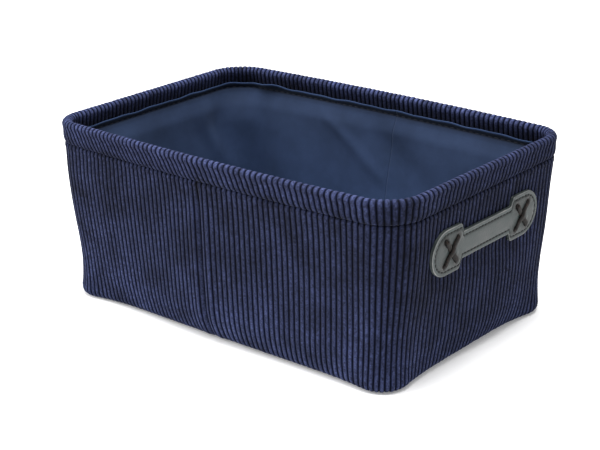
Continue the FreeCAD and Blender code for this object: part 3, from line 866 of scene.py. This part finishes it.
def handle_edge(spacing):
    """The handle's outline as a closed loop, the same above and below and at both ends."""
    corners = [(0, STRAP_HALF), (NECK, STRAP_HALF), (SHOULDER, PAD_HALF), (SPINE, PAD_HALF)]
    straight = rounded_path(corners, [NECK_CORNER, CORNER], spacing)
    turn = np.linspace(math.pi / 2, 0, int(PAD_HALF * math.pi / 2 / spacing) + 1)[1:]
    end = np.stack([SPINE + PAD_HALF * np.cos(turn), PAD_HALF * np.sin(turn)], 1)
    quarter = np.concatenate([straight, end])
    lower = quarter[-2::-1] * [1, -1]
    half = np.concatenate([quarter, lower])
    return np.concatenate([half, half[-2:0:-1] * [-1, 1]])


def to_spine(edge):
    """Unit directions in from the handle's edge to its spine, and the distances."""
    inward = np.stack([np.clip(edge[:, 0], -SPINE, SPINE), 0 * edge[:, 1]], 1) - edge
    width = np.linalg.norm(inward, axis=1, keepdims=True)
    return inward / width, width


def on_end(side, along, up, off):
    """Wall points for places on the handle: along and up the wall, and off its face."""
    rise = (RIM_HALF_LENGTH - ROLL_OVERHANG - BASE_HALF_LENGTH) / ROLL_HEIGHT
    lean = math.atan(rise)
    sign = 1 if side == "right" else -1
    x = BASE_HALF_LENGTH + rise * HANDLE_HEIGHT + off * math.cos(lean) + up * math.sin(lean)
    z = HANDLE_HEIGHT - off * math.sin(lean) + up * math.cos(lean)
    return np.stack(np.broadcast_arrays(sign * x, sign * (HANDLE_SHIFT + along), z), -1)


def hole_distances(along, up):
    """Distances from places on the handle to each of the nearer pad's holes."""
    return [np.hypot(np.abs(along) - hole_along, up - hole_up) for hole_along, hole_up in HOLES]


def leather_face(depth_in, along, up, thickness):
    """How far the face stands above the layer's back: round at the edge, sewn, laced in."""
    round_edge = np.sqrt(np.clip(1 - (1 - np.clip(depth_in / 0.6, 0, 1)) ** 2, 0, 1))
    shape = thickness - EDGE_DROP * (1 - round_edge)
    shape -= 0.50 * np.exp(-((depth_in - STITCH_INSET) / 0.8) ** 2)
    shape += 0.30 * smooth(STITCH_INSET, 8, depth_in)
    for pad in (-PAD_CENTRE, PAD_CENTRE):
        shape += 0.6 * np.exp(-((along - pad + 6.5) / 2.2) ** 2 - ((up - 2.8) / 2.6) ** 2)
        shape += 0.7 * np.exp(-((along - pad - 6.5) / 2.2) ** 2 - ((up + 3.2) / 2.6) ** 2)
        shape -= 0.35 * np.exp(-((along - pad) / 3.5) ** 2 - ((up + 7.5) / 3.5) ** 2)
    for away_from in hole_distances(along, up):
        shape -= 1.15 * np.exp(-(away_from / 1.5) ** 2) - 0.22 * np.exp(-((away_from - 3.4) / 1.3) ** 2)
    return shape


def leather_layer(name, side, layer, pale_rim):
    """One layer as a closed shell: back, rounded cut edge and dished face, from spine to spine.

    Its texture places are the distance to the nearest hole and the distance in from the edge.
    """
    edge = handle_edge(EDGE_STEP)
    inward, width = to_spine(edge)
    low, high = layer
    depths = LEATHER_DEPTHS
    held = np.minimum(depths[:, None], width.T)
    along, up = np.moveaxis(edge + inward * held[..., None], -1, 0)
    out_along, out_up = (edge - inward * EDGE_OUT).T[:, None]
    rises = np.array([0.25, 0.5, 0.75])[:, None] * (high - low - EDGE_DROP)
    grid = np.concatenate([
        on_end(side, along[::-1], up[::-1], low), on_end(side, out_along, out_up, low + rises),
        on_end(side, along, up, low + leather_face(held, along, up, high - low))])
    count, around = grid.shape[:2]
    from_hole = np.full((count, around), AWAY_FROM_HOLES)
    from_hole[-len(depths):] = np.min(hole_distances(along, up), axis=0)
    # Rows of colour factors: the top layer's rim gets the pale cut edge, partly painted highlight; the
    # backing's rim is held darker, a painted shadow under the top layer.
    shade = np.concatenate([np.full(len(depths) + 1, 0.9), [0.7, 0.45 if pale_rim else 0.7],
                            depths if pale_rim else np.maximum(depths, 0.7)])
    uv = np.stack(np.broadcast_arrays(from_hole, shade[:, None]), -1).reshape(-1, 2)
    piece = add_mesh(name, grid.reshape(-1, 3), tube_faces(count, around), uv)
    close_shell(piece, SAME_PLACE, drop_slivers=True)
    return piece


def leather_material():
    """Grey grained leather: pebbles, cloudy tone, a pale cut edge that is partly painted highlight, paler
    between the edge and the stitches, and painted shade in the stitch channel and round the lace holes.
    """
    material, tree, shader = new_material("grey_leather", {"Roughness": 0.5, "Specular IOR Level": 0.45})
    place = add_node(tree, "ShaderNodeTexCoord")
    cells = add_node(tree, "ShaderNodeTexVoronoi", {"Vector": (place, "Object")}, {"Scale": 900})
    clouds = uneven(tree, (place, "Object"), 90, 5, 0.40, 0.60)
    tone = ramped(tree, (clouds, "Noise"), [
        (0.3, (0.012, 0.0185, 0.0190)), (0.5, (0.0225, 0.0330, 0.0335)), (0.72, (0.039, 0.053, 0.053))])
    layer = add_node(tree, "ShaderNodeSeparateXYZ", {"Vector": (place, "UV")})
    # Colour factors in from the edge: the pale cut edge, partly painted highlight; paler between the edge
    # and the stitches; painted shade in the stitch channel; a little darker inside it.
    pale_edge_and_channel_shade = ramped(tree, worked_out(tree, "DIVIDE", (layer, "Y"), LEATHER_SPAN), [
        (0.0, CUT_EDGE), (0.03, CUT_EDGE), (0.05, 0.75), (0.09, 0.95), (0.15, 1.3), (0.26, 1.2),
        (0.31, 0.5), (0.36, 0.5), (0.45, 0.9)])
    # Painted shade in and round the lace holes, darkest at a hole and fading out over about 10 mm.
    painted_hole_shade = ramped(tree, worked_out(tree, "DIVIDE", (layer, "X"), LEATHER_SPAN), [
        (0.0, 0.04), (0.26, 0.06), (0.36, 0.4), (0.5, 0.72), (0.8, 0.86), (1.0, 1.0)])
    colour = tone
    for factor in (pale_edge_and_channel_shade, painted_hole_shade):
        tinted = add_node(tree, "ShaderNodeVectorMath", {0: colour, 1: factor}, operation="MULTIPLY")
        colour = tinted, "Vector"
    wire(tree, (clouds, "Shade"), shader, "Roughness")
    finish(tree, shader, colour, (cells, "Distance"), 0.35, 0.0003)
    return material


grey_leather = leather_material()
for side in ("right", "left"):
    for name, node, layer, pale_rim in (
            ("handle_backing_leather_", "handle_backing_", BACKING, False),
            ("handle_top_leather_face_", "handle_top_leather_", TOP_LAYER, True)):
        leather = leather_layer(name + side, side, layer, pale_rim)
        leather.data.materials.append(grey_leather)
        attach(leather, BODY)
        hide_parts(node + side)

# ---------------------------- handle stitching
# A row of dark waxed thread round each handle, sunk in the sewn channel.  Each stitch is a
# short fat thread whose ends dip into the leather.
STITCH_RINGS, STITCH_SIDES = 7, 6
HANDLE_STITCHES = 76
HANDLE_THREAD = 0.62
HANDLE_STITCH = 3.0


def stitch_points():
    """Points of a thread of length and radius 1 along X: a round bar, narrower to its ends."""
    angle = np.linspace(-math.pi / 2, math.pi / 2, STITCH_RINGS)[:, None]
    turn = np.linspace(0, 2 * math.pi, STITCH_SIDES, endpoint=False)
    spread = np.cos(angle) ** 0.5
    ring = np.broadcast_arrays(np.sin(angle) / 2, spread * np.cos(turn), spread * np.sin(turn))
    return [part.ravel()[None, :, None] for part in ring]


def closed_path_places(path, count):
    """Places evenly spaced along a closed path, and the direction along it at each."""
    closed = np.concatenate([path, path[:1]])
    run = length_along(closed)
    places = (np.arange(count) + 0.5) / count * run[-1]
    step = 0.4
    point, ahead, behind = [np.stack([np.interp(places + shift, run, part) for part in closed.T], -1)
                            for shift in (0, step, -step)]
    along = ahead - behind
    return point, along / np.linalg.norm(along, axis=1, keepdims=True)


def stitches_mesh(name, points, along, outward, length, radius, seed):
    """One mesh of many stitches, each turned a little and never quite the same length."""
    random = np.random.default_rng(seed)
    x, y, z = stitch_points()
    across = np.cross(outward, along)
    across /= np.linalg.norm(across, axis=1, keepdims=True)
    tilt = random.normal(0, 0.03, len(points))[:, None]
    turned = along * np.cos(tilt) + across * np.sin(tilt)
    sideways = np.cross(outward, turned)
    lengths = length * (1 + random.normal(0, 0.05, len(points)))
    rise = z * radius * 0.8 - 0.45 * radius * (2 * x) ** 4
    every = points[:, None, :] + x * lengths[:, None, None] * turned[:, None, :]
    every = every + y * radius * sideways[:, None, :] + rise * outward[:, None, :]
    first = np.arange(len(points))[:, None, None] * STITCH_RINGS * STITCH_SIDES
    faces = (tube_faces(STITCH_RINGS, STITCH_SIDES)[None] + first).reshape(-1, 4)
    piece = add_mesh(name, every.reshape(-1, 3), faces)
    close_shell(piece, 2e-6)
    return piece


dark_thread = grainy_material(
    "dark_thread", (0.002, 0.003, 0.003), (0.010, 0.012, 0.012), 1600, 0.7, 0.0001)[0]
inset_path = handle_edge(0.3)
inset_path = inset_path + to_spine(inset_path)[0] * STITCH_INSET
thread_height = TOP_LAYER[1] - 0.5 + 0.3
for side in ("right", "left"):
    path_points = on_end(side, inset_path[:, 0], inset_path[:, 1], thread_height)
    place, along = closed_path_places(path_points, HANDLE_STITCHES)
    outward = on_end(side, 0.0, 0.0, 1.0) - on_end(side, 0.0, 0.0, 0.0)
    outward = np.tile(outward, (HANDLE_STITCHES, 1))
    stitches = stitches_mesh("handle_stitches_" + side, place, along, outward,
                             HANDLE_STITCH, HANDLE_THREAD, 12)
    stitches.data.materials.append(dark_thread)
    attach(stitches, BODY)
    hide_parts("handle_stitching_" + side)

# ---------------------------- laces
# Flat dark brown leather lace, one piece a pad: two strands cross on the face, with the same
# one on top at both pads, and the ends go through the wall to the patch behind it.
LACE_HALF_WIDTH = 2.3
LACE_HALF_THICKNESS = 1.2
LACE_DEPTH = -5.4
LACE_BEND = 1.7
LACE_SIDES = 16
LACE_SQUARENESS = 0.8


def lace_strand(side, start, finish, lift, reach):
    """One strand: up out of a hole, over a rounded lip, across the face and down again."""
    start, finish = np.array(start), np.array(finish)
    length = np.linalg.norm(finish - start)
    surface = TOP_LAYER[1] + LACE_HALF_THICKNESS - 0.3
    low_bend = surface - LACE_BEND
    turn = np.linspace(0, math.pi / 2, 8)
    distance = np.concatenate([np.zeros(5), LACE_BEND * (1 - np.cos(turn)),
                               np.linspace(LACE_BEND, length / 2, 13)[1:]])
    height = np.concatenate([np.linspace(LACE_DEPTH, low_bend, 6)[:-1],
                             low_bend + LACE_BEND * np.sin(turn), np.full(12, surface)])
    height = height + lift * np.exp(-((distance - length / 2) / reach) ** 2)
    across_face = np.clip((distance - LACE_BEND) / (length / 2 - LACE_BEND), 0, 1)
    height = height - 0.28 * np.sin(across_face * math.pi)
    distance = np.concatenate([distance, length - distance[-2::-1]])
    centre = np.stack([distance, np.concatenate([height, height[-2::-1]])], -1)
    tangent = np.gradient(centre, axis=0)
    tangent /= np.linalg.norm(tangent, axis=1, keepdims=True)
    normal = np.stack([-tangent[:, 1], tangent[:, 0]], -1)
    angle = np.linspace(0, 2 * math.pi, LACE_SIDES, endpoint=False)
    wide, thick = [np.sign(part) * np.abs(part) ** LACE_SQUARENESS
                   for part in (np.cos(angle), np.sin(angle))]
    narrow = 1 - 0.22 * np.exp(-((np.abs(distance - length / 2) - length / 2) / 1.9) ** 2)
    way = (finish - start) / length
    shift = centre[:, None, :] + normal[:, None, :] * (thick * LACE_HALF_THICKNESS)[None, :, None]
    sideways = narrow[:, None] * (wide * LACE_HALF_WIDTH)[None, :]
    along = start[0] + way[0] * shift[..., 0] - way[1] * sideways
    up = start[1] + way[1] * shift[..., 0] + way[0] * sideways
    return on_end(side, along, up, shift[..., 1])


def lace_material():
    """Dark brown lace, broken by paler rubbed spots."""
    material, tree, shader = new_material("brown_lace", {"Roughness": 0.6, "Specular IOR Level": 0.18})
    place = add_node(tree, "ShaderNodeTexCoord")
    grain = uneven(tree, (place, "Object"), 600), "Noise"
    tone = ramped(tree, grain, [(0.35, (0.0010, 0.0008, 0.0007)), (0.54, (0.0040, 0.0028, 0.0024)),
                                (0.70, (0.040, 0.022, 0.017))])
    finish(tree, shader, tone, grain, 0.4, 0.0003)
    return material


brown_lace = lace_material()
for side in ("right", "left"):
    for order, near, far in (("first", -HOLE_FAR, -HOLE_NEAR), ("second", HOLE_NEAR, HOLE_FAR)):
        strands = np.array([lace_strand(side, (near, -HOLE_RISE), (far, HOLE_RISE), 0.9, 3.4),
                            lace_strand(side, (far, -HOLE_RISE), (near, HOLE_RISE), -1.0, 3.6)])
        rows = strands.shape[1]
        faces = tube_faces(rows, LACE_SIDES)
        lace = add_mesh(f"lace_cross_{side}_{order}", strands.reshape(-1, 3),
                        np.concatenate([faces, faces + rows * LACE_SIDES]))
        close_shell(lace)
        lace.data.materials.append(brown_lace)
        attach(lace, BODY)
        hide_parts(f"lace_{side}_{order}")

# ---------------------------- rim stitching
# One row of navy thread through wall, facing and hem below the wire.  Outside it is sunk in
# the ribs, and inside it shows as dark dashes on the lining's hem.
navy_thread = grainy_material(
    "navy_thread", (0.003, 0.004, 0.010), (0.012, 0.014, 0.032), 1600, 0.7, 0.0001)[0]
STITCH_PITCH = 6.5
RIM_STITCH = 4.4
fine_loop = np.linspace(0, 1, 2400, endpoint=False)
outer_line = wall_grid(fine_loop, np.array([[1.75, STITCH_HEIGHT, 0, 1]]))[0]
inner_line = lining_grid(fine_loop, [STITCH_HEIGHT], HEM)[0]
for name, line, facing, radius, seed in (("rim_stitches_outside", outer_line, 1, 0.34, 21),
                                         ("rim_stitches_inside", inner_line, -1, 0.42, 22)):
    place, along = closed_path_places(line, int(RIM_RUN / STITCH_PITCH))
    outward = np.cross(along, [0, 0, 1.0]) * facing
    outward /= np.linalg.norm(outward, axis=1, keepdims=True)
    stitches = stitches_mesh(name, place, along, outward, RIM_STITCH, radius, seed)
    stitches.data.materials.append(navy_thread)
    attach(stitches, BODY)
    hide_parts(name.replace("stitches", "topstitch"))

bpy.context.view_layer.update()
